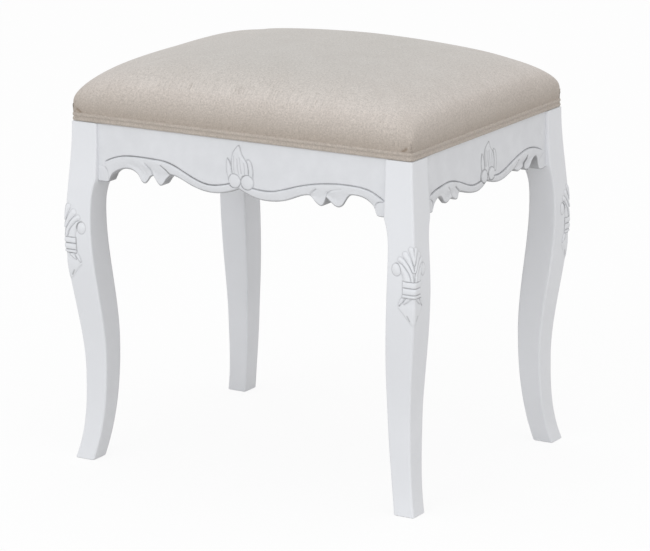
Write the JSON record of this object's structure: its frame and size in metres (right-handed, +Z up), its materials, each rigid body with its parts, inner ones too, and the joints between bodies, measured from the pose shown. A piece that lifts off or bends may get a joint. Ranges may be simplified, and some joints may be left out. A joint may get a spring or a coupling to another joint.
{
  "type": "upholstered stool",
  "caption": "Rectangular upholstered stool with white-painted cabriole legs, carved scalloped aprons and a crowned linen seat edged with double welt.",
  "frame": {"origin": "on the floor, under the middle of the seat", "axes": "+Z up; X along the long side, with the front apron facing -Y and the right apron facing +X"},
  "size_m": [0.452, 0.353, 0.4717],
  "materials": {
    "painted_wood": "white eggshell paint on carved hardwood, with a grey shadow glaze settled in the carving",
    "bare_wood": "sawn beech, unfinished",
    "plywood": "sanded plywood, unfinished",
    "plated_steel": "zinc-plated wood screws",
    "staple_steel": "galvanised upholstery staples",
    "foam": "open-cell upholstery foam",
    "wadding": "bonded polyester wadding",
    "linen": "plain-weave oatmeal linen with slubs and small dark flecks",
    "cambric": "black spun-bonded dust cloth"
  },
  "bodies": {
    "root": {"leg_front_left": "painted_wood", "corner_block_front_left": "bare_wood", "leg_front_right": "painted_wood", "corner_block_front_right": "bare_wood", "leg_rear_left": "painted_wood", "corner_block_rear_left": "bare_wood", "leg_rear_right": "painted_wood", "corner_block_rear_right": "bare_wood", "apron_front": "painted_wood", "apron_right": "painted_wood", "apron_rear": "painted_wood", "apron_left": "painted_wood", "apron_dowels": "bare_wood", "corner_block_screws": "plated_steel", "seat_screws": "plated_steel", "seat_board": "plywood", "foam_pad": "foam", "wadding": "wadding", "linen_cover": "linen", "double_welt": "linen", "dust_cover": "cambric", "linen_staples": "staple_steel", "dust_cover_staples": "staple_steel"}
  },
  "joints": []
}
